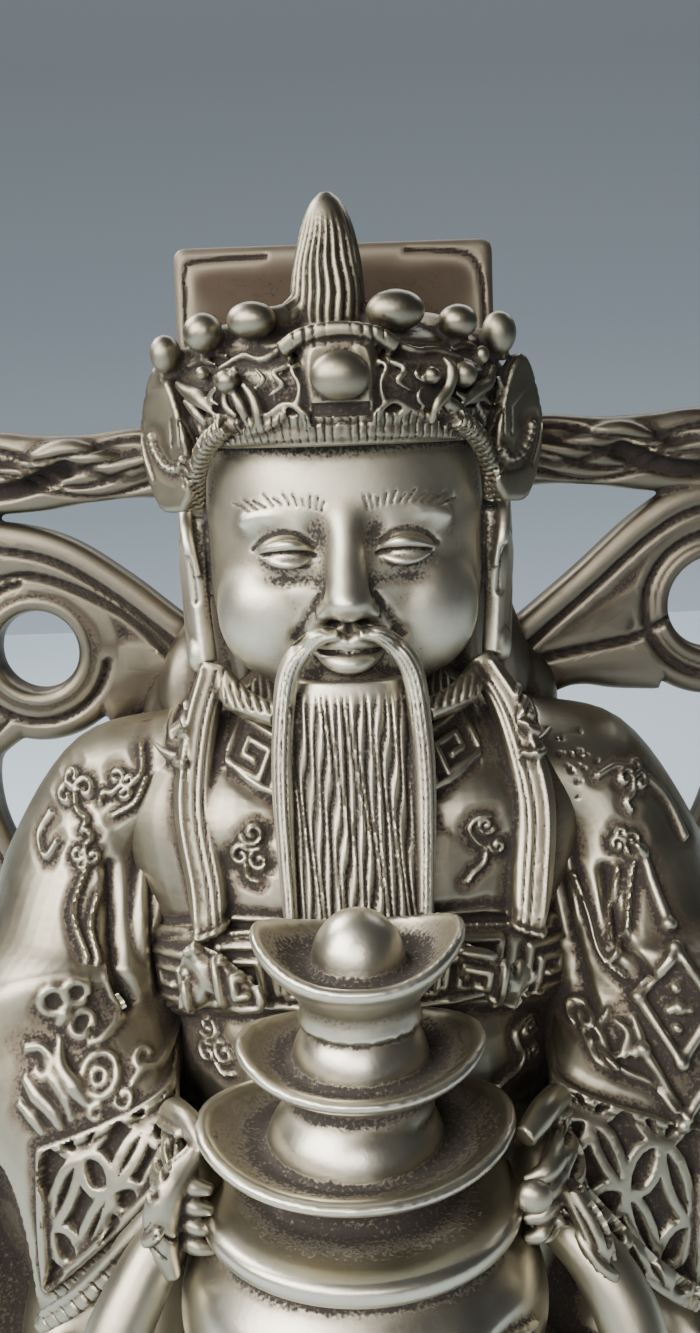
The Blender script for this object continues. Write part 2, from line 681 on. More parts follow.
def sleeve_forms(side):
    """Shoulder, upper arm, hanging sleeve, cuff and hand."""
    s = side
    lean = LEAN if side < 0 else -RIGHT_SLOPE
    forms = [
        body_of(
            [
                ((s * 30, 18, 126), (0, -17, 0), (s * 2, 0, 9)),
                ((s * 42 + lean, 18, 120), (0, -19, 0), (s * 9, 0, 10.5)),
                ((s * 46 + lean * 1.2, 16, 109), (0, -21, 2), (s * 17, 0, 5)),
                ((s * 48 + lean, 11, 97), (0, -22, 6), (s * 19, 0, 2)),
                ((s * 50, 2, 86), (-s * 1, -17, 14), (s * 21, -3, -2)),
                ((s * 50, -7, 76), (-s * 3, -9, 17), (s * 20, -6, -5)),
                ((s * 47, -14, 67), (-s * 6, -7, 17), (s * 16, -6, -10)),
                ((s * 42, -20, 62), (-s * 10, -6, 15), (s * 9, -5, -10)),
                ((s * 38, -24, 59), (-s * 11, -4, 13), (s * 3, -3, -4)),
            ],
            count=56,
        ),
        body_of(
            [
                ((s * 50, 12, 99), (0, -8, 5), (s * 4, 0, 1)),
                ((s * 55, 8, 90), (0, -12, 6), (s * 7, 0, 0)),
                ((s * 60, 3, 79), (0, -14, 6), (s * 10, 0, 0)),
                ((s * 63, -2, 62), (0, -16, 3), (s * 10, 0, 0)),
                ((s * 63, -6, 44), (0, -16, 0), (s * 9, 0, 0)),
                ((s * 61, -9, 30), (0, -14, 0), (s * 7, 0, 0)),
                ((s * 58, -10, 22), (0, -10, 0), (s * 5, 0, 0)),
            ]
        ),
    ]
    for shift, depth in ((0, 0.2), (7, 1.2), (14, 2.8)):
        forms.append(
            strand(
                [
                    (s * (33 + shift), 4 + depth, 117 - shift * 0.6),
                    (s * (35 + shift), -1 + depth, 108 - shift * 0.6),
                    (s * (37 + shift), -5 + depth, 98 - shift * 0.6),
                    (s * (39 + shift), -9 + depth, 86 - shift * 0.5),
                ],
                [2.0, 3.4, 3.8, 2.6],
                sides=16,
            )
        )
    hem = [(27, -31, 77), (34, -33, 68), (43, -33, 58), (51, -29, 50)]
    forms.append(strand([(s * x, y, z) for x, y, z in hem], [1.7, 1.9, 1.9, 1.6], sides=14))
    forms.append(ball((s * 27.0, -30, 75), (5.5, 7, 6.5)))
    for finger in range(4):
        up = finger * -3.2
        bent = [(29, -31, 81), (28, -37, 80.5), (25.5, -41.5, 79.5), (22, -42, 78.5)]
        forms.append(strand([(s * x, y + 3.6, z + up) for x, y, z in bent], [1.9, 1.9, 1.6, 0.8], sides=14))
    forms.append(
        strand([(s * 29, -27, 84), (s * 26, -32, 85), (s * 22.5, -36, 83.5)], [2.4, 2.2, 1.8], sides=14)
    )
    return forms


def beast_in_clouds(front):
    """The left sleeve's relief: a three-ringed cloud above a beast's head of leaf-shaped jaw, horn and
    mane."""
    leaves = (
        (
            [(-53.0, 90.1), (-50.4, 90.3), (-48.5, 88.2), (-49.8, 85.9), (-51.4, 87.3)],
            [0.8, 0.9, 1.0, 0.9, 0.5]
        ),
        ([(-47.5, 91.4), (-47.2, 87.6), (-45.1, 85.0), (-43.0, 82.4)], [0.4, 1.3, 1.7, 0.6]),
        ([(-53.0, 86.4), (-50.8, 83.8), (-48.2, 81.4), (-47.0, 78.8)], [0.8, 1.5, 1.3, 0.5]),
        ([(-49.8, 88.9), (-48.3, 86.0), (-46.4, 83.4), (-45.4, 80.4)], [0.5, 1.2, 1.1, 0.4]),
        ([(-54.0, 82.6), (-51.6, 80.6), (-49.8, 78.0)], [0.6, 1.1, 0.5]),
        ([(-47.9, 93.0), (-46.8, 94.8), (-46.2, 96.8)], [0.6, 1.3, 0.4]),
        (
            [(-40.6, 101.0), (-39.8, 96.4), (-38.4, 93.2), (-40.6, 90.8), (-43.2, 90.2)],
            [0.4, 0.8, 0.9, 0.8, 0.4]
        ),
        ([(-36.2, 84.8), (-34.4, 86.2), (-32.0, 86.0), (-29.6, 88.0)], [0.5, 0.8, 0.7, 0.3])
    )
    forms = [laid(front, run, radii, flat=0.8) for run, radii in leaves]
    for x, z, radius, thick in (
        (-48.4, 96.9, 2.0, 0.75), (-45.0, 97.7, 1.8, 0.75), (-44.3, 92.9, 1.7, 0.7)
    ):
        forms.append(laid(front, arc(x, z, radius, -20, 320, 9), [thick] * 3, flat=0.8))
    for x, z, radius, thick in ((-41.0, 86.2, 2.7, 0.75), (-41.2, 86.0, 1.1, 0.6), (-48.2, 84.4, 0.9, 0.5)):
        forms.append(laid(front, arc(x, z, radius, 30, 380, 9), [thick] * 3, flat=0.8))
    for x, z, radius, start in ((-41.4, 81.2, 1.5, 60), (-37.2, 83.4, 1.8, 200), (-35.0, 87.2, 1.4, 10)):
        forms.append(laid(front, curl(x, z, radius, start, 0.95)[::4], [0.65, 0.6, 0.35], flat=0.8))
    return forms


def coin_lattice(corners, rows, columns):
    """Lines of overlapping coins between four corners: each coin shares its petals with its neighbours."""
    low_in, low_out, high_in, high_out = (np.array(corner, float) for corner in corners)
    lines = []
    for row in np.arange(-1, rows + 0.5, 0.5):
        for column in np.arange(-1, columns + 0.5, 0.5):
            if (row * 2 + column * 2) % 2:
                continue
            turns = np.linspace(0, 2 * np.pi, 21)
            a = ((column + 0.5 + 0.5 * np.cos(turns)) / columns)[:, None]
            b = ((row + 0.5 + 0.5 * np.sin(turns)) / rows)[:, None]
            lines.append(
                (low_in * (1 - a) + low_out * a) * (1 - b) + (high_in * (1 - a) + high_out * a) * b
            )
    return lines


CUFFS = {
    -1: ((-29.5, 74.5), (-51.0, 53.0), (-27.5, 84.5), (-50.5, 75.5)),
    1: ((27.5, 71.5), (51.0, 48.0), (29.0, 83.0), (52.0, 75.0)),
}
SLITS = {
    -1: (((-40.8, 114), (-40, 104), (-37.6, 94)), ((-34.2, 113), (-33.2, 102), (-32.4, 94))),
    1: (((33.4, 113), (34.6, 101), (36.4, 92)), ((40.5, 111), (41.6, 103), (45.0, 97))),
}
for side, name in ((-1, "left_sleeve"), (1, "right_sleeve")):
    forms = sleeve_forms(side)
    front = front_of(forms)
    if side < 0:
        forms += beast_in_clouds(front)
        forms.append(
            strand(
                [(-24.5, -36, 83), (-28.0, -38.5, 79.5), (-29.6, -39.5, 73.5), (-28.2, -40, 66)],
                [1.6, 2.5, 2.6, 1.2], sides=16
            )
        )
    else:
        rods = (((49.8, 101.5), (43.6, 94.2)), ((43.6, 94.2), (49.2, 85.4)), ((49.2, 85.4), (55.6, 92.6)))
        rods += (((55.6, 92.6), (49.8, 101.5)), ((43.4, 87.4), (49.2, 77.6)), ((49.2, 77.6), (54.5, 83.0)))
        rods += (((46.6, 114.0), (49.6, 104.0)),)
        for start, end in rods:
            middle = tuple((a + b) / 2 for a, b in zip(start, end))
            forms.append(laid(front, [start, middle, end], [1.0, 0.9, 1.0], proud=0.6))
            for x, z in (start, end):
                forms.append(ball((x, front(x, z) - 0.9, z), (1.35, 1.35, 1.35), sides=14))
        for x, z, size in (
            (49.4, 95.6, 1.1), (49.8, 92.6, 1.3), (49.2, 89.8, 1.0), (48.2, 92.2, 0.8), (51.4, 92.4, 0.8)
        ):
            forms.append(ball((x, front(x, z) - 0.2, z), (size, size, size), sides=12))
        for start, middle, tip in (
            ((38.6, 85.5), (37.4, 89.0), (39.4, 92.0)),
            ((40.0, 86.0), (41.6, 89.0), (39.8, 90.6)),
            ((41.5, 86.4), (43.4, 88.2), (42.6, 91.4)),
            ((39.0, 84.8), (36.2, 86.0), (34.6, 88.8)),
        ):
            forms.append(laid(front, [start, middle, tip], [1.0, 0.9, 0.35], proud=0.5))
        forms.append(ball((22.8, -43.5, 79.4), (2.6, 2.0, 2.6), sides=16))
        forms.append(
            strand(
                [(29, -37, 76), (32, -39, 70), (33.5, -40, 64), (34.2, -40.5, 57)], [1.6, 2.3, 1.7, 0.3],
                sides=14
            )
        )
    sleeve = skinned(name, forms, SLEEVE_CELL, ease=3)
    points, normals = points_of(sleeve)
    ahead = normals[:, 1] < -0.08
    cuff = CUFFS[side]
    quad = np.array([cuff[0], cuff[1], cuff[3], cuff[2]])
    edges = zip(quad, np.roll(quad, -1, axis=0))
    crossings = [np.cross(b - a, points[:, [0, 2]] - a) for a, b in edges]
    inside = ahead & (
        (np.min(crossings, axis=0) > 0) | (np.max(crossings, axis=0) < 0)
    ) & (points[:, 1] < -8)
    lattice_distance = near_lines(points[inside][:, [0, 2]], coin_lattice(cuff, 1.15, 2.1), 3.0)
    points[inside] -= normals[inside] * (1.7 * (1 - ridge(lattice_distance, 1.0, 0.42)))[:, None]
    border = [[cuff[2], cuff[3]], [cuff[0], cuff[1]], [cuff[1], cuff[3]]]
    points = carve(points, normals, border, 0.7, 0.55, where=ahead & (points[:, 1] < -8), ground=0.3)
    hem_start, hem_end = np.array(cuff[0], float), np.array(cuff[1], float)
    down = np.array([hem_end[1] - hem_start[1], -(hem_end[0] - hem_start[0])])
    down = down / np.linalg.norm(down) * (1 if down[1] < 0 else -1)
    spots = [hem_start + (hem_end - hem_start) * t for t in np.linspace(0, 1, 13)]
    ticks = [[spot + down * 0.8, spot + down * 3.6] for spot in spots]
    points = carve(points, normals, ticks, 0.2, -0.5, soft=0.2, where=ahead)
    slits = [flowing(slit, 14) for slit in SLITS[side]]
    points = carve(points, normals, slits, 0.35, -2.6, soft=1.7, where=ahead & (points[:, 1] < 10))
    if side < 0:
        mouth = (points[:, 0] < -52.5) & (points[:, 2] < 76) & (normals[:, 1] < 0.2)
        far = ((points[:, 0] + 60) / 6.5) ** 2 + ((points[:, 2] - 54) / 19) ** 2
        points[mouth, 1] += (9.0 * np.clip(1.15 - far, 0, 1) ** 0.7)[mouth]
        scrolls = placed(TREFOIL, -46.2, 124.4, 3.6, 20, -1) + placed(TREFOIL, -39.4, 126.2, 2.6, -60, 1)
        scrolls += [
            flowing([(-37.8, 126), (-35.2, 128.5), (-35.8, 132)], 10),
            flowing([(-40, 122), (-36.4, 124), (-34.5, 127.5)], 10)
        ]
        scrolls += placed(TREFOIL, -44.4, 116.8, 2.4, 170, 1) + [
            flowing([(-44.5, 114), (-46.2, 108), (-43.6, 102)], 14)
        ]
        scrolls += [flowing([(-51, 122), (-53, 118.5), (-51.5, 115.5), (-49.5, 118)], 12)]
        scrolls += [flowing([(-42.6, 110), (-43.4, 106), (-41.9, 101.5)], 10)]
    else:
        scrolls = placed(TREFOIL, 46.4, 123.6, 2.9, -20, 1) + placed(TREFOIL, 44.4, 114.6, 2.6, 15, -1)
        scrolls += [
            flowing([(40.5, 125.6), (43.5, 126.6), (46.5, 126)], 10),
            flowing([(49.5, 124), (53, 120), (55.5, 114)], 12)
        ]
        scrolls += [[(42.6, 111.5), (40.2, 101.5)], [(44.8, 111), (42.8, 102.5), (39.8, 98.5)]]
        scrolls += [flowing([(35.6, 110), (37.4, 105), (38.6, 99.5), (42, 96.5)], 16)]
        scrolls += [flowing([(36, 88), (40, 84.6), (44.5, 82.6), (47.8, 79)], 16)]
        scrolls += placed([curl(0, 0, 1, 200, 1.1, -1)], 35.4, 90.0, 2.0, 0)
    points = carve(points, normals, scrolls, 0.40, 0.66, soft=0.32, where=ahead, ground=0.3)
    if side > 0:
        chance = np.random.default_rng(7)
        for x, z in zip(chance.normal(37.5, 2.4, 24), chance.normal(128.8, 2.6, 24)):
            gap = np.hypot(points[:, 0] - x, points[:, 2] - z)
            pit = ahead & (gap < 1.2)
            points[pit] -= normals[pit] * (0.5 * ridge(gap[pit], chance.uniform(0.1, 0.4), 0.22))[:, None]
    reshape(sleeve, points)
    thinned(sleeve, SLEEVE_FACES)
    dressed(sleeve, ROBE_METAL)


# The treasure bowl and the three boat-shaped ingots stacked on it: smooth, well-rubbed shapes turned round
# an oval, each ingot with a domed middle. Sandy tarnish sits only under the rims and round the domes.
TREASURE_CELL = 0.5
TREASURE_FACES = 60000


def ingot(centre, half_length, half_width, height, lift, mound, mound_rise):
    """A boat-shaped ingot on its oval foot: raised ends, a thick rim, a tray and a domed middle."""
    low_wall = [
        (0.60, 0.62, 0.00, 0.0), (0.57, 0.58, 0.30, 0.0), (0.68, 0.72, 0.55, 0.1), (0.90, 0.92, 0.78, 0.6)
    ]
    rim = [
        (0.99, 0.99, 0.90, 0.9), (1.00, 1.00, 1.00, 1.0), (0.95, 0.93, 1.05, 1.0), (0.88, 0.84, 0.98, 0.8)
    ]
    tray = [(0.66, 0.66, 0.86, 0.3), (0.45, 0.56, 0.86, 0.0)]
    rows = flowing(low_wall + rim + tray, 46)
    rings = []
    for long, wide, up, raised in rows:
        ring = oval(centre, (half_length * long, 0, 0), (0, half_width * wide, 0), count=96)
        ends = np.abs((ring[:, 0] - centre[0]) / (half_length * long)) ** 2.5
        ring[:, 2] += up * height + lift * raised * ends
        rings.append(ring)
    top = (centre[0], centre[1], centre[2] + height * 0.86)
    return [loft(rings), ball(top, (mound, mound * 0.92, mound_rise), sides=48)]


BOWL_ROWS = [(0.50, 0), (0.56, 3), (0.80, 9), (0.97, 17), (1.00, 23), (0.94, 28.5), (0.80, 32.5)]
BOWL_ROWS += [(0.76, 34), (0.83, 34.8), (0.87, 36.4), (0.85, 38.2), (0.76, 38.8)]
bowl_rings = []
for share, up in flowing(BOWL_ROWS, 56):
    bowl_rings.append(oval((-1, -33, 36 + up), (27.2 * share, 0, 0), (0, 24.6 * share, 0), count=96))
treasure_forms = [loft(bowl_rings)]
treasure_forms += ingot((-1.5, -33, 74.5), 23.2, 18.0, 9.0, 2.8, 13.0, 9.8)
treasure_forms += ingot((-0.4, -33, 88), 17.9, 14.2, 8.0, 2.6, 10.0, 9.5)
treasure_forms += ingot((-0.3, -33, 101.5), 15.1, 12.4, 9.6, 4.2, 6.8, 8.2)
treasure = skinned("treasure_bowl_and_ingots", treasure_forms, TREASURE_CELL, ease=2)
points, normals = points_of(treasure)
swirl = [curl(17.5, 57.0, 3.4, 90, 1.2, -1), flowing([(14, 60), (18, 62), (22.5, 60.5)], 12)]
scratches = [
    [(-13.5, 61.5), (-8.5, 60.4)], [(-6, 57.5), (-2.5, 58.2)], [(-16, 57), (-14.8, 53.5)],
    [(4, 60), (9, 61)]
]
points = carve(
    points, normals, swirl, 0.5, 0.6, where=(points[:, 2] < 68) & (normals[:, 1] < 0), ground=0.3
)
points = carve(points, normals, scratches, 0.15, -0.35, soft=0.2, where=points[:, 2] < 66)
reshape(treasure, points)
thinned(treasure, TREASURE_FACES)
dressed(treasure, aged_white_copper("aged white copper treasure", SILVER, RUBBED, film=0.50, gloss=0.40))


# The head: a calm, full face with half-closed eyes, long-lobed ears, a two-part moustache and a long
# straight beard in narrow strands, all cast with the robe. The face is chased smooth and rubbed the most.
HEAD_CELL = 0.30
HEAD_FACES = 160000
SKULL_CELL = 0.5
SKULL_EASE = 40
EYE_ACROSS = 8.8
EYE_HEIGHT = 165.2
MOUTH_HEIGHT = 149.6

skull_forms = [
    body_of(
        upright(
            [
                (8, 139.5, 6, 7), (9, 142, 13, 12.5), (12, 148, 20, 17.5), (15, 156, 23, 21),
                (17, 166, 23.6, 23), (16.4, 178, 23, 21.2), (17.2, 190, 21, 18.6)
            ]
        ),
        count=72, power=2.12
    ),
    body_of(
        upright(
            [
                (-3.4, 172.0, 3.6, 2.4), (-5.8, 165, 3.1, 3.4), (-8.2, 160, 3.3, 4.2),
                (-9.4, 157.2, 3.8, 4.4), (-7.6, 154.8, 2.7, 3.0)
            ]
        ),
        count=28
    ),
    ball((0, -9.9, 157.0), (3.3, 3.2, 2.7)), ball((0, -4.8, 143.2), (6.6, 4.6, 3.6))
]
head_forms = [
    strand(
        [
            (-6.0, -4.6, 150.0), (-3.0, -8.0, 151.0), (-1.0, -9.2, 151.5), (0, -9.2, 151.1),
            (1.0, -9.2, 151.5), (3.0, -8.0, 151.0), (6.0, -4.6, 150.0)
        ],
        [0.5, 1.1, 1.4, 1.35, 1.4, 1.1, 0.5], sides=14
    ),
    strand(
        [
            (-5.4, -4.8, 149.4), (-2.8, -8.0, 148.3), (0, -9.1, 147.8), (2.8, -8.0, 148.3),
            (5.4, -4.8, 149.4)
        ],
        [0.5, 1.35, 1.6, 1.35, 0.5], sides=14
    )
]
for side in (-1, 1):
    s = side
    skull_forms += [
        ball((s * 3.5, -7.2, 155.7), (2.1, 2.7, 1.9)),
        ball((s * 11.0, 4.6, 155.0), (10.5, 9.4, 12.0), sides=40),
        ball((s * 8.8, -1.2, 170.2), (8.6, 3.2, 3.4), turn=(0, s * 5, 0)),
    ]
    head_forms += [
        ball((s * EYE_ACROSS, -2.1, EYE_HEIGHT), (4.9, 4.3, 3.4), sides=36),
        strand(
            [
                (s * 4.7, -4.6, EYE_HEIGHT - 0.5), (s * 6.6, -6.2, EYE_HEIGHT + 0.7),
                (s * 9.0, -6.6, EYE_HEIGHT + 1.1), (s * 11.6, -5.4, EYE_HEIGHT + 0.6),
                (s * 13.9, -3.0, EYE_HEIGHT - 0.5)
            ],
            [0.35, 0.75, 0.85, 0.75, 0.35]
        ),
        strand(
            [
                (s * 4.7, -4.6, EYE_HEIGHT - 0.7), (s * 6.8, -5.9, EYE_HEIGHT - 1.7),
                (s * 9.0, -6.3, EYE_HEIGHT - 2.0), (s * 11.4, -5.2, EYE_HEIGHT - 1.6),
                (s * 13.9, -3.0, EYE_HEIGHT - 0.6)
            ],
            [0.3, 0.6, 0.65, 0.6, 0.3]
        ),
        band(
            [(s * 24, 13, 169.5), (s * 26, 13, 163), (s * 25.5, 12, 154), (s * 24.5, 10, 145)],
            [2, 4.2, 3.2, 2.6], 3.6, (s * 0.9, -0.4, 0)
        ),
        strand(
            [
                (s * 25, 8.5, 160), (s * 26.2, 9.0, 166), (s * 26.8, 13, 170.5), (s * 27.6, 17, 166),
                (s * 27.6, 16, 158), (s * 27, 13.5, 150), (s * 26, 9.5, 145.5)
            ],
            [0.9, 1.2, 1.2, 1.2, 1.1, 1.2, 1.4]
        ),
        ball((s * 25.4, 10.2, 146.6), (2.2, 2.4, 3.4)),
        strand(
            [
                (s * 1.5, -10.4, 153.0), (s * 5.6, -9.6, 151.9), (s * 9.4, -8.6, 147),
                (s * 10.7, -10.2, 138), (s * 11.0, -12.4, 127), (s * 10.4, -17.4, 110)
            ],
            [0.9, 1.5, 1.8, 1.75, 1.7, 1.2], sides=18, flat=1.1
        )
    ]
head_forms.append(
    body_of(
        upright(
            [
                (-5.4, 145, 8.4, 4), (-8, 138, 9.5, 4.2), (-10, 126, 10.4, 4.8), (-14, 112, 10.4, 5),
                (-17, 104, 8, 4)
            ]
        ),
        count=36
    )
)
skull = skinned("skull", skull_forms, SKULL_CELL, ease=SKULL_EASE)
head = skinned("head_and_beard", head_forms, HEAD_CELL, ease=3, extra=[skull])
points, normals = points_of(head)
ahead = normals[:, 1] < -0.1


def dent(points, where, x, z, wide, tall, depth):
    """A soft round hollow pressed into the front, or a swelling where the depth is under 0."""
    fall = np.exp(-(((points[:, 0] - x) / wide) ** 2) - ((points[:, 2] - z) / tall) ** 2)
    points[where, 1] += (fall * depth)[where]
    return points


for side in (-1, 1):
    points = dent(points, ahead, side * 4.6, EYE_HEIGHT + 2.2, 2.2, 3.0, 1.2)
    points = dent(points, ahead, side * 13.5, EYE_HEIGHT + 3.4, 3.2, 1.6, 0.5)
    points = dent(points, ahead, side * 9.2, EYE_HEIGHT - 4.6, 4.6, 1.3, 0.55)
    points = dent(points, ahead, side * 7.6, 151.4, 1.6, 1.8, 0.9)
    points = dent(points, ahead & (points[:, 2] < 156.0), side * 2.5, 154.2, 1.1, 0.8, 2.2)
    lid_crease = flowing(
        np.array([(5.2, 1.0), (7.4, 2.6), (10.0, 2.9), (12.6, 2.0), (14.6, 0.2)]) + (0, EYE_HEIGHT), 20
    ) * (side, 1)
    cheek_fold = flowing(np.array([(4.9, 157.2), (6.6, 154.6), (8.0, 151.6)]) * (side, 1), 10)
    wing = flowing(np.array([(4.4, 158.4), (5.6, 156.6), (5.0, 154.6)]) * (side, 1), 10)
    points = carve(
        points, normals, [lid_crease, wing], 0.22, -0.5, soft=0.35, where=ahead & (points[:, 1] < 3)
    )
    points = carve(points, normals, [cheek_fold], 0.5, -0.45, soft=0.9, where=ahead & (points[:, 1] < 3))
    lash = flowing(
        np.array([(4.9, -0.7), (7.0, -0.25), (9.2, -0.15), (11.5, -0.35), (13.6, -0.7)]) + (0, EYE_HEIGHT),
        18
    ) * (side, 1)
    points = carve(points, normals, [lash], 0.22, -0.75, soft=0.28, where=ahead)
    hairs = []
    for place in np.linspace(0, 1, 11) ** 1.2:
        x = 3.6 + 11.2 * place
        z = 170.3 + 2.1 * math.sin(math.pi * (0.18 + 0.62 * place))
        lean = -0.5 + 3.4 * place
        long = 1.5 + 0.4 * math.sin(23 * place + side) - 0.6 * place
        hairs.append(
            np.array([(x, z - 0.2), (x + lean * 0.5, z + long * 0.5), (x + lean, z + long)]) * (side, 1)
        )
    points = carve(points, normals, hairs, 0.08, -0.30, soft=0.26, where=ahead)
mouth = flowing(
    [(-5.8, 149.6), (-3, 149.7), (-1, 149.9), (0, 149.6), (1, 149.9), (3, 149.7), (5.8, 149.6)], 26
)
points = carve(points, normals, [mouth], 0.18, -0.85, soft=0.3, where=ahead)
points = carve(points, normals, [[(0, 152.6), (0, 154.0)]], 0.4, -0.4, soft=0.5, where=ahead)
points = dent(points, ahead, 0, 146.0, 4.2, 0.9, 0.6)

beard = ahead & (np.abs(points[:, 0]) < 9.4) & (points[:, 2] < 143.5) & (points[:, 1] < -4)
x, z = points[:, 0], points[:, 2]
wave = 0.35 * np.sin(z * 0.19 + x * 0.5) + 0.22 * np.sin(z * 0.37 + x * 1.9)
strands = np.abs(np.sin((x + wave) * np.pi / 1.18)) ** 0.75 + 0.25 * np.sin((x + wave) * 2.1)
fade = np.clip((143.5 - z) / 3.0, 0, 1)
points[beard, 1] -= ((strands - 0.85) * 0.80 * fade)[beard]
for side in (-1, 1):
    line = flowing(
        np.array(
            [(2.2, 153.2), (5.6, 151.9), (9.4, 147), (10.9, 138), (11.3, 127), (10.6, 110)]
        ) * (side, 1),
        40
    )
    combed = [line + (off, off * 0.3) for off in (-0.75, 0.1, 0.95)]
    points = carve(points, normals, combed, 0.06, -0.36, soft=0.26, where=ahead & (points[:, 1] < -5))
hollow_ear = [[(side * 25.6, 156), (side * 26.2, 163)] for side in (-1, 1)]
points = carve(points, normals, hollow_ear, 0.6, -0.8, soft=0.6, where=np.abs(points[:, 0]) > 23)
reshape(head, points)
thinned(head, HEAD_FACES)
dressed(head, aged_white_copper("aged white copper face", SILVER, RUBBED, film=0.5, gloss=0.47))


# The veil: cloth that falls from the hat behind the ears to the shoulders, cast with the head in shallow
# upright folds. It was left from the mould and never rubbed, so it keeps a dark film.
VEIL_CELL = 0.8
VEIL_FACES = 12000

deselected()
veil = skinned(
    "nape_veil",
    [
        body_of(
            upright(
                [
                    (28, 184, 29, 14), (28, 166, 28, 14), (28, 150, 30, 13), (29, 136, 38, 11),
                    (30, 124, 40, 11)
                ]
            )
        )
    ],
    VEIL_CELL
)
points, normals = points_of(veil)
points += normals * (0.45 * np.sin(points[:, 0] * 0.9 + 0.6 * np.sin(points[:, 2] * 0.12)))[:, None]
reshape(veil, points)
thinned(veil, VEIL_FACES)
veil_metal = aged_white_copper(
    "aged white copper veil", (0.12, 0.098, 0.075, 1.0), (0.30, 0.27, 0.21, 1.0), film=0.4, gloss=0.46
)
dressed(veil, veil_metal)


# The hat's rear crown: an upright block with soft edges that stands behind the cap, cast with it. A thin
# line is cut inside each of its upper corners, and its flat face keeps an even brown film.
CROWN_CELL = 0.55
CROWN_FACES = 30000

deselected()
bpy.ops.mesh.primitive_cube_add(
    size=1, location=(-0.5 * MM, 27 * MM, 205.1 * MM), rotation=(math.radians(-6), 0, 0),
    scale=(54.6 * MM, 8.5 * MM, 18.0 * MM)
)
block = bpy.context.object
settle(block)
bpy.ops.object.mode_set(mode="EDIT")
bpy.ops.mesh.select_all(action="SELECT")
bpy.ops.mesh.bevel(offset=1.9 * MM, segments=5, affect="EDGES")
bpy.ops.object.mode_set(mode="OBJECT")

rear_crown = skinned("rear_crown", [ball((0, 27, 204), (3, 2, 3))], CROWN_CELL, ease=2, extra=[block])
points, normals = points_of(rear_crown)
crown_lines = [
    flowing([(-26.0, 198), (-25.9, 206), (-25.5, 211.0), (-22.0, 212.0), (-12, 212.4)], 30),
    flowing([(25.2, 198), (25.0, 205), (24.0, 210.0), (21.0, 212.0), (12, 212.6)], 30),
]
points = carve(points, normals, crown_lines, 0.2, -0.8, soft=0.5, where=normals[:, 1] < -0.3)
reshape(rear_crown, points)
thinned(rear_crown, CROWN_FACES)
crown_metal = aged_white_copper(
    "aged white copper crown", (0.062, 0.046, 0.034, 1.0), (0.28, 0.24, 0.18, 1.0), film=0.1, gloss=0.64
)
dressed(rear_crown, crown_metal)


# The court hat: a fluted bud finial, six pearls, an oval gem on its tile under a ribbed arch, and two
# dragons that turn to the gem among flames. Side flaps carry a hooked rib, and a rope edge runs down to the
# ears.
HAT_CELL = 0.30
HAT_FACES = 175000
CAP = upright(
    [(14, 181, 23, 24.5), (15, 186, 26, 27.0), (16, 192, 28, 27.5), (18, 197, 25, 24), (19, 200.5, 16, 16)]
)
RELIEF_GROUND = 1.3
ROPE_EDGE = ((17.2, -6.4, 184.6), (21, -1, 181.5), (23.5, 5, 177), (24.2, 8, 171.5))


def cap_axes(z):
    """The cap's middle, half-width and half-depth at a height."""
    levels = [row[0][2] for row in CAP]
    return [np.interp(z, levels, column) for column in zip(*[(c[1], u[0], v[1]) for c, u, v in CAP])]


def on_cap(x, z, out=0.0):
    """A place on the cap's front, at a distance across, a height and how far it stands out."""
    middle, half, deep = cap_axes(z)
    share = min(abs(x) / (half + out), 0.985)
    return (math.copysign(share * (half + out), x), middle - (deep + out) * math.sqrt(1 - share**2), z)


def below_cap(points):
    """How far each point lies under the cap's own curve, where the relief's ground was sunk."""
    middle, half, deep = cap_axes(points[:, 2])
    share = np.hypot(points[:, 0] / half, (middle - points[:, 1]) / deep)
    fringe = (points[:, 2] > 185.8) & (points[:, 2] < 196.4) & (points[:, 1] < 14)
    return np.where(fringe, (1 - share) * 27, 0)


def sprig(run, radii, out=0.0, flat=0.75, sides=10):
    """A tendril, leaf or claw of the hat's relief, laid over the sunk ground."""
    return strand([on_cap(x, z, out) for x, z in run], radii, sides=sides, smooth=6, flat=flat)


def bead(x, z, radius, out=0.4, tall=1.0):
    return ball(on_cap(x, z, out), (radius, radius, radius * tall), sides=18)


def tendrils(side):
    """The flames and waves that fill the ground between the gem's panel and a dragon, a little unlike each
    side."""
    s = side
    wave = 0.3 * side
    return [
        sprig(
            [(s * 8.0, 195.6), (s * 11.5, 194.2 + wave), (s * 14.5, 194.6), (s * 18.4, 193.2 + wave)],
            [0.7, 0.55, 0.55, 0.3]
        ),
        sprig(
            [(s * 8.0, 195.2), (s * 7.1, 193.2), (s * 9.6, 191.8), (s * 8.4, 190.0), (s * 10.6, 188.6)],
            [0.6, 0.5, 0.55, 0.5, 0.25]
        ),
        sprig(
            [(s * 6.0, 195.0), (s * 5.4, 193.2), (s * 6.9, 192.2), (s * 5.9, 189.8), (s * 6.3, 187.4)],
            [0.5, 0.45, 0.5, 0.45, 0.5]
        ),
        sprig(
            [(s * 4.6, 183.8), (s * 5.4, 185.8), (s * 7.8, 187.3), (s * 10.4, 185.9), (s * 13.0, 184.6)],
            [0.7, 0.6, 0.55, 0.6, 0.5]
        ),
        sprig(
            [(s * 10.6, 186.0), (s * 9.0, 185.5), (s * 8.9, 184.3), (s * 10.0, 184.2)],
            [0.4, 0.45, 0.4, 0.3]
        ),
        sprig([(s * 12.4, 192.6), (s * 11.2, 191.0), (s * 12.6, 189.6)], [0.3, 0.5, 0.3]),
        sprig([(s * 17.0, 194.8), (s * 20.0, 195.4), (s * 22.6, 194.0)], [0.4, 0.6, 0.3])
    ]


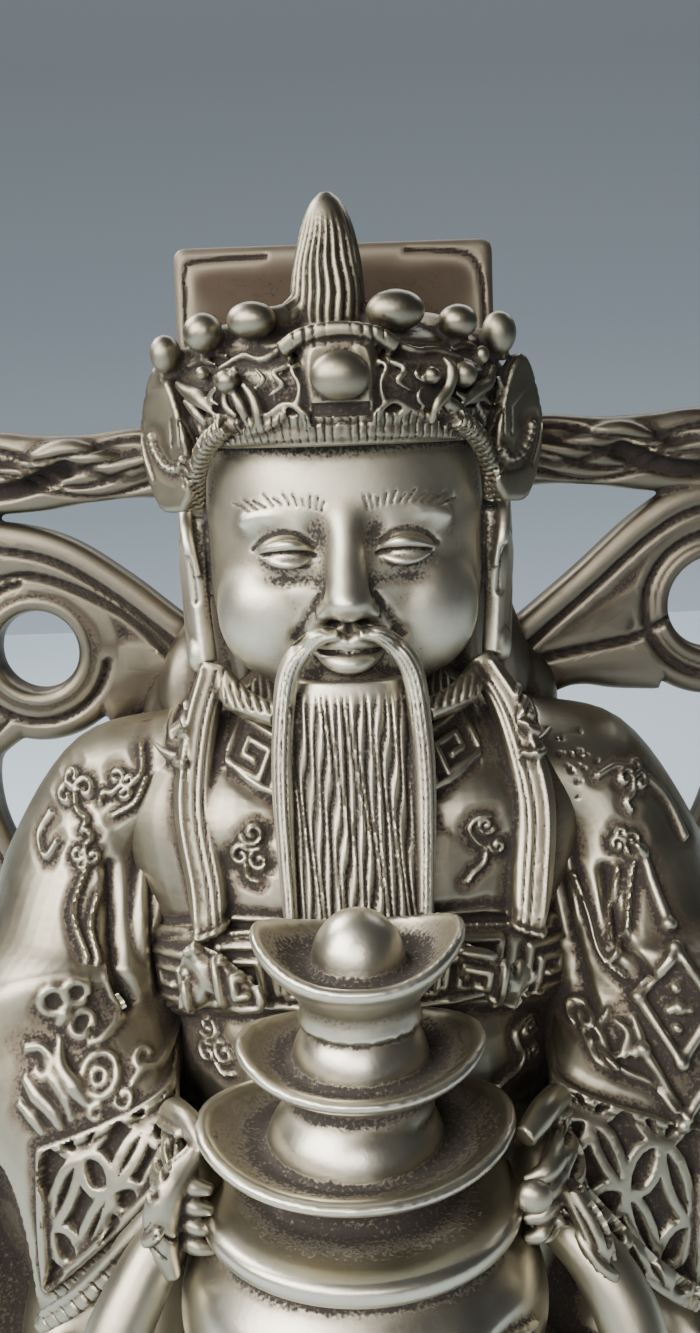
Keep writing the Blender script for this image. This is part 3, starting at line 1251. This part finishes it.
def left_dragon():
    return [
        bead(-16.7, 191.0, 1.9, 0.6),
        bead(-15.4, 192.4, 0.7, 1.4),
        bead(-20.8, 192.4, 1.1, 0.5),
        sprig([(-25.6, 191.4), (-23.6, 189.8), (-21.4, 188.6), (-19.4, 186.4)], [0.7, 1.2, 1.4, 0.4], 0.5),
        sprig([(-24.6, 188.6), (-22.6, 186.9), (-21.0, 184.6)], [0.5, 1.0, 0.4], 0.3),
        sprig([(-16.2, 189.6), (-15.0, 187.6), (-13.6, 184.2)], [0.6, 0.9, 0.6], 0.5),
        sprig([(-14.4, 190.6), (-12.9, 188.4), (-12.2, 185.4), (-12.6, 183.6)], [0.5, 0.8, 0.9, 0.6], 0.6),
        sprig([(-17.4, 189.4), (-17.2, 187.4), (-15.6, 185.8)], [0.5, 0.7, 0.4], 0.4),
        sprig([(-19.4, 186.0), (-17.4, 185.2), (-15.2, 184.4)], [0.5, 1.2, 0.5], 0.4),
        sprig([(-16.0, 183.2), (-12.4, 183.9), (-9.4, 184.9), (-8.0, 186.4)], [0.5, 0.9, 0.6, 0.3], 0.4),
        sprig([(-22.8, 184.9), (-21.0, 183.2), (-17.6, 183.4)], [0.4, 0.8, 0.5], 0.2),
        sprig([(-18.6, 190.2), (-19.8, 188.6), (-18.4, 187.6)], [0.4, 0.6, 0.3], 0.3),
        sprig([(-24.0, 193.8), (-21.6, 194.6), (-18.8, 193.6)], [0.4, 0.7, 0.3], 0.3),
    ]


def right_dragon():
    return [
        bead(13.5, 190.7, 1.35, 0.6), bead(18.7, 190.8, 2.0, 0.4), bead(22.0, 193.8, 1.15, 0.6, 1.3),
        sprig(
            [(15.4, 193.4), (16.6, 191.6), (16.0, 188.8), (14.2, 186.4), (13.3, 183.6)],
            [0.3, 0.9, 1.0, 0.8, 0.4], 1.0
        ),
        sprig([(23.8, 192.4), (23.0, 189.8), (20.6, 188.4), (17.8, 185.8)], [0.4, 1.0, 1.1, 0.4], 0.5),
        sprig([(14.6, 187.8), (16.8, 186.0), (18.8, 183.8)], [0.4, 1.3, 0.5], 0.5),
        sprig([(20.8, 186.4), (21.8, 184.6), (23.0, 182.9)], [0.5, 0.9, 0.3], 0.3),
        sprig([(17.2, 188.2), (19.4, 187.0), (21.6, 187.4), (23.6, 186.2)], [0.4, 0.7, 0.6, 0.3], 0.4),
        sprig([(24.8, 190.6), (25.4, 188.4), (24.2, 186.2)], [0.4, 0.8, 0.3], 0.3),
        sprig([(12.2, 189.2), (11.4, 187.6), (12.4, 186.0)], [0.3, 0.5, 0.3], 0.3),
        sprig([(18.8, 193.2), (20.2, 192.0), (21.8, 191.4)], [0.3, 0.6, 0.3], 0.6)
    ]


sunk_cap = []
for z in (181, 183.6, 185.4, 186.4, 189, 192, 194.6, 196.2, 197.4, 199, 200.5):
    middle, half, deep = cap_axes(z)
    sunk = RELIEF_GROUND if 186 < z < 195 else 0.0
    sunk_cap.append(((0, middle, z), (half - sunk * 0.7, 0, 0), (0, deep - sunk, 0)))
hat_forms = [body_of(sunk_cap, count=80, between=3)]
hat_forms += tendrils(-1) + tendrils(1) + left_dragon() + right_dragon()
pearls = (((-27.3, 5, 195.8), (2.4, 2.6, 3.0)), ((-20.6, -1, 198.4), (3.1, 3.0, 3.0)))
pearls += (((-12.9, -4.5, 199.7), (3.8, 3.1, 2.8)), ((8.6, -4.8, 200.4), (4.5, 3.3, 3.1)))
pearls += (((18.2, -1, 198.8), (3.1, 2.9, 2.6)), ((25.2, 5, 197.3), (2.8, 2.7, 3.4)))
for (x, y, z), radii in pearls:
    hat_forms.append(ball((x, y, z), radii, turn=(0, 0, x * 1.2)))
    saddle = [
        (x * 1.06, y + 1.5, z - 2.0), (x * 0.9, y + 3, z - 1.6), (x * 0.76, y + 6, z - 1.0),
        (x * 0.62, y + 9, z - 0.6)
    ]
    hat_forms.append(strand(saddle, [2.2, 2.6, 3.0, 2.8], sides=16))
hat_forms.append(strand([(-12, -2, 199.5), (-8, 0, 200.0), (-5, 2, 201.5)], [2.2, 2.4, 3.0], sides=18))
hat_forms.append(ball((0, -13.2, 191.0), (4.4, 3.0, 3.6), sides=48))
panel = flowing(
    [
        (-4.6, -7.2), (4.6, -7.2), (5.6, -2), (5.8, 3), (4, 6.2), (-4, 6.2), (-5.8, 3), (-5.6, -2),
        (-4.6, -7.2)
    ],
    49
)[:-1]
tile = [
    np.array([(x * w, y, 190.5 + z * w) for x, z in panel])
    for y, w in ((-6.8, 1.0), (-9.8, 0.97), (-10.8, 0.78))
]
hat_forms.append(loft(tile))
turns = [math.radians(turn) for turn in range(-48, 49, 8)]
brow = [(24.5 * math.sin(t), 14 - 24.0 * math.cos(t), 183.6 - 1.2 * math.sin(t) ** 2) for t in turns]
hat_forms.append(band(brow, [1.7] * len(brow), 2.6, smooth=4))
arch = [(-8.6, -8.2, 195.0), (-5.2, -9.4, 196.9), (0, -9.8, 197.6), (5.2, -9.4, 196.9), (8.6, -8.2, 195.0)]
hat_forms.append(band(arch, [1.2] * 5, 3.6))
for side in (-1, 1):
    hat_forms.append(strand([(side * x, y, z) for x, y, z in ROPE_EDGE], [1.6, 1.7, 1.7, 1.5], sides=16))
    leaf = [(-3.5, -11.5), (2.0, -11), (5.2, -3), (5.0, 4), (1.5, 11.5), (-2, 9), (-5, 0), (-5.5, -8)]
    leaf = flowing(leaf + leaf[:1], 33)[:-1]
    cos_turn, sin_turn = math.cos(math.radians(side * 38)), math.sin(math.radians(side * 38))
    rings = []
    for depth, wide in ((-1.6, 0.93), (-1.1, 1.0), (1.1, 1.0), (1.6, 0.93)):
        ring = []
        for x, z in leaf:
            across = side * x * wide * cos_turn - depth * sin_turn
            back = side * x * wide * sin_turn + depth * cos_turn
            ring.append((across, back, z * wide))
        rings.append(np.array(ring) + (side * 28.0, 8, 182.5))
    hat_forms.append(loft(rings))

FINIAL = [
    ((-1.5, 3, 195), (5.2, 0, 0), (0, 5.2, 0)),
    ((-1.5, 3, 200), (5.9, 0, 0), (0, 5.8, 0)),
    ((-1.5, 3, 204), (5.8, 0, 0), (0, 5.7, 0)),
    ((-1.3, 3.5, 209), (5.2, 0, 0), (0, 5.0, 0)),
    ((-1.2, 4, 214), (4.0, 0, 0), (0, 3.8, 0)),
    ((-1.2, 4, 217.2), (2.5, 0, 0), (0, 2.4, 0)),
    ((-1.2, 4, 218.8), (0.9, 0, 0), (0, 0.9, 0)),
]
hat_forms.append(body_of(FINIAL, count=48))
hat = skinned("court_hat", hat_forms, HAT_CELL, ease=2)
points, normals = points_of(hat)
x, y, z = points.T
bud = (z > 199.2) & (np.hypot(x + 1.4, y - 3.4) < 8.0) & (z < 217.5)
around = np.arctan2(y - 3.4, x + 1.4)
flutes = np.abs(np.sin(around * 11.5 + 0.35 * np.sin(z * 0.7) + 0.6 * np.sin(around * 3))) ** 0.7
points[bud] -= normals[bud] * (0.70 * (1 - flutes) * np.clip((216.0 - z) / 6, 0, 1))[bud][:, None]
band_here = (z > 181.6) & (z < 185.6) & (y < 6) & (normals[:, 1] < 0.3)
turn = np.degrees(np.arctan2(x, 14 - y))
ticks = np.abs(((turn / 2.9) % 1) - 0.5) * 2
points[band_here] -= normals[band_here] * (0.42 * ridge(1 - ticks, 0.12, 0.2))[band_here][:, None]
arch_here = (z > 195.2) & (z < 199.4) & (np.abs(x) < 8.4) & (y < -7.6) & (normals[:, 1] < 0)
arch_ticks = np.abs(((x / 1.7 + 0.12 * np.sin(x * 3)) % 1) - 0.5) * 2
points[arch_here] -= normals[arch_here] * (0.45 * ridge(1 - arch_ticks, 0.10, 0.22))[arch_here][:, None]
tile_here = (np.abs(x) < 4.4) & (np.abs(z - 185.6) < 1.5) & (y < -9) & (normals[:, 1] < 0)
points[tile_here] -= normals[tile_here] * 0.55
for side in (-1, 1):
    path = flowing([(side * x, y, z) for x, y, z in ROPE_EDGE], 60)
    near = np.flatnonzero((np.abs(x - side * 21) < 7) & (z > 169) & (z < 187) & (y < 13))
    gaps = np.linalg.norm(points[near][:, None] - path[None], axis=2)
    along = gaps.argmin(1) / 60 * 17
    close = gaps.min(1) < 2.6
    twist = np.abs(((along + side * 0.22 * (x[near] * side - y[near] * 0.5)) % 1) - 0.5) * 2
    points[near[close]] -= normals[near[close]] * (0.5 * ridge(1 - twist[close], 0.18, 0.25))[:, None]
    flap = (np.abs(x) > 22.5) & (normals[:, 1] < 0.2) & (y < 16) & (z > 170) & (z < 195)
    hook = flowing(
        np.array([(31.0, 183.0), (30.6, 181.0), (28.9, 178.4), (26.8, 177.8), (25.6, 179.4)]) * (side, 1),
        40
    )
    points = carve(points, normals, [hook], 0.55, 0.6, soft=0.35, where=flap, ground=0.2)
    hook_ticks = []
    for place in range(4, 38, 4):
        run = hook[place + 1] - hook[place - 1]
        across = np.array([-run[1], run[0]]) / np.linalg.norm(run)
        hook_ticks.append([hook[place] - across * 0.8, hook[place] + across * 0.8])
    points = carve(points, normals, hook_ticks, 0.08, -0.35, soft=0.26, where=flap)
    edge_line = flowing(
        np.array([(31.6, 190.5), (32.6, 186), (32.4, 181.5), (31.0, 176.5)]) * (side, 1), 24
    )
    points = carve(points, normals, [edge_line], 0.12, -0.4, soft=0.3, where=flap)
reshape(hat, points)
thinned(hat, HAT_FACES)
dressed(
    hat,
    aged_white_copper(
        "aged white copper hat", (0.145, 0.125, 0.090, 1.0), (0.34, 0.31, 0.23, 1.0), film=0.5, gloss=0.45
    )
)


# The flying scarf: a long ribbon that stands behind the shoulders in wavy bands and a ring loop on each
# side, pierced between them. Its folds are cut as deep double grooves, and it keeps more of the pinkish-
# brown film than the robe.
SCARF_CELL = 0.55
SCARF_FACES = 42000
SCARF_DEPTH = 33.0
SCARF_THICKNESS = 7.0
SCARF_METAL = aged_white_copper(
    "aged white copper scarf", (0.075, 0.061, 0.045, 1.0), (0.23, 0.20, 0.15, 1.0), film=0.3, gloss=0.50
)

for side, name in ((-1, "left_scarf"), (1, "right_scarf")):
    left = side < 0
    lower = [(27, 140), (34, 146.4), (43, 154.2), (53, 160.8), (63, 163.4), (73, 164), (80, 160)]
    if not left:
        lower = [(27, 136), (34, 143), (45, 152.4), (56, 162), (64, 166.4), (73, 167), (80, 163)]
    upper = [(26, 177), (36, 178.2), (46, 177.6), (56, 177), (66, 177.2), (75, 175), (81.5, 167), (80, 157)]
    crest = [(30, 181), (40, 178), (50, 181), (60, 176.5), (70, 179.5), (77, 172)]
    ring_x, ring_z, hole, rim = (58.2, 144.2, 7.4, 17.4) if left else (68.4, 149.0, 8.6, 17.6)
    loop = arc(ring_x, ring_z, (hole + rim) / 2, 0, 360, 17)
    runs = [(upper, [6.5, 6.4, 6.2, 7.0, 7.6, 6.6, 4.6, 2.5]), (lower, [6, 5.0, 4.8, 4.9, 5.0, 4.4, 3.0])]
    runs.append((loop, [(rim - hole) / 2] * len(loop)))
    if left:
        runs.append(([(26, 136), (38, 140), (47, 139)], [9, 8.5, 11]))
        tail = [(64, 132), (71, 125), (71.5, 114), (68, 103), (62, 95)]
    else:
        runs.append(([(26, 134), (40, 138), (50, 139), (58, 139.5)], [8, 4.4, 6.0, 7.0]))
        runs.append(([(36, 139.5), (47, 145.5), (57, 153)], [4.0, 5.0, 4.0]))
        tail = [(74, 138), (75, 128), (72, 115), (68, 104), (61, 96)]
    runs.append((tail, [4.5, 4.0, 3.6, 3.6, 3.4]))
    forms = [
        band([(side * px, SCARF_DEPTH, pz) for px, pz in run], widths, SCARF_THICKNESS)
        for run, widths in runs
    ]
    scarf_front = SCARF_DEPTH - SCARF_THICKNESS / 2
    forms.append(
        strand([(side * px, scarf_front, pz) for px, pz in crest], [1.8, 2.2, 2.2, 2.4, 2.2, 1.4], sides=18)
    )
    scarf = skinned(name, forms, SCARF_CELL, ease=3)
    points, normals = points_of(scarf)
    flat_faces = np.abs(normals[:, 1]) > 0.35
    deep = [flowing(np.array(lower) * (side, 1), 50)[4:]]
    if left:
        deep.append(arc(-ring_x, ring_z, 13.2, 100, 350, 40))
        deep.append(
            flowing(np.array([(32, 141), (40, 149.5), (49, 155.4), (58, 158.6), (66, 158)]) * (side, 1), 30)
        )
    else:
        deep.append(arc(ring_x, ring_z, 13.4, 80, 300, 40))
        deep.append(flowing(np.array([(36, 139.8), (46, 141.8), (54, 143.5), (60, 147)]) * (side, 1), 24))
    points = carve(points, normals, deep, 0.45, -1.5, soft=0.7, where=flat_faces)
    rims = [arc(side * ring_x, ring_z, hole + 1.6, 0, 360, 40)]
    points = carve(points, normals, rims, 1.0, 0.55, soft=0.6, where=flat_faces)
    tail_line = flowing(np.array(tail) * (side, 1), 24)
    points = carve(points, normals, [tail_line], 0.3, -0.9, soft=0.6, where=flat_faces)
    wavy = []
    for off, shift in ((3.6, 0.0), (1.2, 0.5), (-1.4, 1.0), (-3.8, 1.6)):
        across = np.linspace(28, 80, 40)
        level = 177.4 + off + 1.5 * np.sin(across * 0.21 + shift) - 0.02 * (across - 50)
        wavy.append(np.column_stack([side * across, level]))
    points = carve(points, normals, wavy, 0.3, -1.1, soft=0.65, where=flat_faces & (points[:, 2] > 168))
    hollows = [flowing(np.array([(50, 177.5), (58, 174.5), (66, 173.5), (74, 176)]) * (side, 1), 20)]
    points = carve(points, normals, hollows, 1.1, -2.0, soft=1.0, where=flat_faces & (normals[:, 1] < 0))
    reshape(scarf, points)
    thinned(scarf, SCARF_FACES)
    dressed(scarf, SCARF_METAL)


# The patina: tarnish stays where a cloth can't reach and goes where hands rub. How deep each point lies
# among the metal round it is worked out from the finished shape, near and wide, and kept on the pieces as
# hollow and worn.
GRID = 0.8


def triangles_of(piece):
    piece.data.calc_loop_triangles()
    faces = np.empty(len(piece.data.loop_triangles) * 3, np.int32)
    piece.data.loop_triangles.foreach_get("vertices", faces)
    return faces.reshape(-1, 3)


def metal_grid(shapes, low, count):
    """A grid of cells that says which of them lie in the metal, from how often a line from below meets a
    face."""
    counts = np.zeros((count[0], count[1], count[2] + 1), np.int16)
    for points, faces in shapes:
        corners = (points[faces] - low) / GRID - 0.5
        a, b, c = corners[:, 0], corners[:, 1], corners[:, 2]
        area = (b[:, 0] - a[:, 0]) * (c[:, 1] - a[:, 1]) - (c[:, 0] - a[:, 0]) * (b[:, 1] - a[:, 1])
        start = np.ceil(corners[:, :, :2].min(1)).astype(int)
        end = np.floor(corners[:, :, :2].max(1)).astype(int)
        keep = (np.abs(area) > 1e-9) & (end >= start).all(1)
        a, b, c, area, start, end = a[keep], b[keep], c[keep], area[keep], start[keep], end[keep]
        spans = end - start
        for step_x in range(int(spans[:, 0].max()) + 1):
            for step_y in range(int(spans[:, 1].max()) + 1):
                live = np.flatnonzero((spans[:, 0] >= step_x) & (spans[:, 1] >= step_y))
                if not len(live):
                    continue
                px, py = start[live, 0] + step_x, start[live, 1] + step_y
                first_x, first_y = b[live, 0] - a[live, 0], b[live, 1] - a[live, 1]
                second_x, second_y = c[live, 0] - a[live, 0], c[live, 1] - a[live, 1]
                from_x, from_y = px - a[live, 0], py - a[live, 1]
                u = (from_x * second_y - second_x * from_y) / area[live]
                v = (first_x * from_y - from_x * first_y) / area[live]
                hit = (u >= 0) & (v >= 0) & (u + v <= 1)
                live, px, py, u, v = live[hit], px[hit], py[hit], u[hit], v[hit]
                pz = a[live, 2] + u * (b[live, 2] - a[live, 2]) + v * (c[live, 2] - a[live, 2])
                level = np.clip(np.ceil(pz).astype(int), 0, count[2])
                np.add.at(counts, (px, py, level), np.where(area[live] < 0, 1, -1).astype(np.int16))
    return (np.cumsum(counts, axis=2)[:, :, :-1] > 0).astype(np.float32)


def blurred(grid, cells):
    """The share of metal in a soft box round each cell."""
    for _ in range(2):
        for axis in range(3):
            padded = np.pad(grid, [(cells + 1, cells) if i == axis else (0, 0) for i in range(3)])
            total = np.cumsum(padded, axis=axis)
            size = grid.shape[axis]
            high = np.take(total, np.arange(2 * cells + 1, 2 * cells + 1 + size), axis=axis)
            grid = (high - np.take(total, np.arange(size), axis=axis)) / (2 * cells + 1)
    return grid


def sampled(grid, low, spots):
    place = np.clip((spots - low) / GRID - 0.5, 0, np.array(grid.shape) - 1.001)
    i = place.astype(int)
    f = place - i
    value = 0
    for corner in range(8):
        dx, dy, dz = corner & 1, corner >> 1 & 1, corner >> 2 & 1
        shares = [f[:, axis] if far else 1 - f[:, axis] for axis, far in enumerate((dx, dy, dz))]
        value = value + shares[0] * shares[1] * shares[2] * grid[i[:, 0] + dx, i[:, 1] + dy, i[:, 2] + dz]
    return value


def bends(points, normals, faces, rounds):
    """How far smoothing would lift each point: above 0 in a groove and below 0 on a ridge, in
    millimetres."""
    edges = np.vstack([faces[:, [0, 1]], faces[:, [1, 2]], faces[:, [2, 0]]])
    edges = np.vstack([edges, edges[:, ::-1]])
    degree = np.bincount(edges[:, 0], minlength=len(points))
    moved, found, done = points.copy(), [], 0
    for target in rounds:
        while done < target:
            pulled = [np.bincount(edges[:, 0], moved[edges[:, 1], axis], len(points)) for axis in range(3)]
            moved = 0.4 * moved + 0.6 * np.column_stack(pulled) / np.maximum(degree, 1)[:, None]
            done += 1
        found.append(((moved - points) * normals).sum(1))
    return found


shapes = [(points_of(piece)[0], triangles_of(piece)) for piece in STATUE_PIECES]
grid_low = np.array([-92.0, -66.0, -4.0])
grid_count = (np.array([184.0, 132.0, 230.0]) / GRID).astype(int)
metal = metal_grid(shapes, grid_low, grid_count)
near_metal, wide_metal = blurred(metal, 1), blurred(metal, 5)
for piece, (points, faces) in zip(STATUE_PIECES, shapes):
    normals = points_of(piece)[1]
    fine, broad, deep = bends(points, normals, faces, (3, 12, 36))
    close = sampled(near_metal, grid_low, points + normals * 1.0)
    wide = sampled(wide_metal, grid_low, points + normals * 3.0)
    hollow = 0.20 + 5.0 * fine + 1.6 * broad + 0.9 * deep + 1.4 * (close - 0.17) + 1.4 * (wide - 0.25)
    if piece == hat:
        hollow += 0.55 * np.clip(below_cap(points) / 0.8, 0, 1)
    worn = 0.26 - 5.0 * fine - 1.3 * broad - 0.5 * deep - 1.2 * (close - 0.17) - 0.9 * (wide - 0.25)
    if piece == treasure:
        hollow -= 0.22
        worn += 0.06
    if piece == head:
        bearded = (np.abs(points[:, 0]) < 12.5) & (points[:, 2] < 142) & (points[:, 1] < -4)
        hollow += 0.34 * bearded
        worn -= 0.30 * bearded
    for label, values in (("hollow", hollow), ("worn", worn)):
        kept = piece.data.attributes.new(label, "FLOAT", "POINT")
        kept.data.foreach_set("value", np.clip(values, 0, 1).astype(np.float32))


# The setting: a plain pale floor and a lit backdrop, a window-like softbox at the upper left, a broad one
# in front, one over the left shoulder and a wash on the floor, and the camera close in front, as the
# photograph was taken.
FLOOR_COLOUR = (0.62, 0.72, 0.79, 1.0)
deselected()
bpy.ops.mesh.primitive_plane_add(size=6.0, location=(0, 0, 0))
floor = bpy.context.object
floor.name = "studio_floor"
floor_paint = bpy.data.materials.new("matt pale floor")
floor_paint.use_nodes = True
floor_paint.node_tree.nodes["Principled BSDF"].inputs["Base Color"].default_value = FLOOR_COLOUR
floor_paint.node_tree.nodes["Principled BSDF"].inputs["Roughness"].default_value = 0.9
floor.data.materials.append(floor_paint)

deselected()
bpy.ops.mesh.primitive_plane_add(size=3.2, location=(0, 0.9, 1.5), rotation=(math.radians(90), 0, 0))
backdrop = bpy.context.object
settle(backdrop)
backdrop.name = "studio_backdrop"
paper = bpy.data.materials.new("lit backdrop paper")
paper.use_nodes = True
tree = paper.node_tree
place = add_node(tree, "ShaderNodeTexCoord", {}, {}, output=3)
height = add_node(tree, "ShaderNodeSeparateXYZ", {}, {0: place}, output=2)
share = add_node(tree, "ShaderNodeMapRange", {}, {"Value": height, "From Min": -0.02, "From Max": 0.48})
tones = [(0.0, (0.42, 0.50, 0.56, 1.0)), (0.25, (0.265, 0.330, 0.375, 1.0))]
tones += [(0.58, (0.180, 0.218, 0.250, 1.0)), (1.0, (0.118, 0.142, 0.164, 1.0))]
glow = add_node(tree, "ShaderNodeValToRGB", {"stops": tones}, {"Fac": share})
sheet = tree.nodes["Principled BSDF"]
sheet.inputs["Base Color"].default_value = (0.02, 0.02, 0.02, 1.0)
sheet.inputs["Roughness"].default_value = 1.0
sheet.inputs["Emission Strength"].default_value = 1.0
tree.links.new(glow.link, sheet.inputs["Emission Color"])
backdrop.data.materials.append(paper)

studio = bpy.data.worlds.new("studio")
studio.use_nodes = True
studio.node_tree.nodes["Background"].inputs["Color"].default_value = (0.050, 0.052, 0.056, 1.0)
studio.node_tree.nodes["Background"].inputs["Strength"].default_value = 1.0
bpy.context.scene.world = studio


def softbox(name, place, target, size, power, colour):
    light = bpy.data.lights.new(name, "AREA")
    light.shape = "RECTANGLE"
    light.size, light.size_y = size
    light.energy = power
    light.color = colour
    holder = bpy.data.objects.new(name, light)
    holder.location = place
    holder.rotation_euler = (Vector(target) - Vector(place)).to_track_quat("-Z", "Y").to_euler()
    bpy.context.scene.collection.objects.link(holder)


FACE = (0, 0, 0.15)
softbox("window softbox", (-0.38, -0.34, 0.43), FACE, (0.44, 0.40), 6.6, (1.0, 0.975, 0.94))
softbox("front softbox", (-0.16, -0.90, 0.44), FACE, (0.60, 0.34), 5.0, (1.0, 0.98, 0.95))
softbox("shoulder softbox", (-0.34, 0.16, 0.52), FACE, (0.30, 0.24), 3.0, (1.0, 0.99, 0.97))
softbox("floor wash", (0.0, 0.62, 0.75), (0, 0.72, 0), (1.4, 0.4), 6.5, (0.95, 0.98, 1.0))

camera_data = bpy.data.cameras.new("view")
camera_data.sensor_fit = "VERTICAL"
camera_data.sensor_height = 36
camera_data.lens = 32.4
camera_data.clip_start = 0.01
view = bpy.data.objects.new("view", camera_data)
view.location = (0, -0.190, 0.185)
tilted = Matrix.Rotation(math.radians(90 - 11.7), 3, "X") @ Matrix.Rotation(math.radians(-2.0), 3, "Z")
view.rotation_euler = tilted.to_euler()
bpy.context.scene.collection.objects.link(view)
bpy.context.scene.camera = view
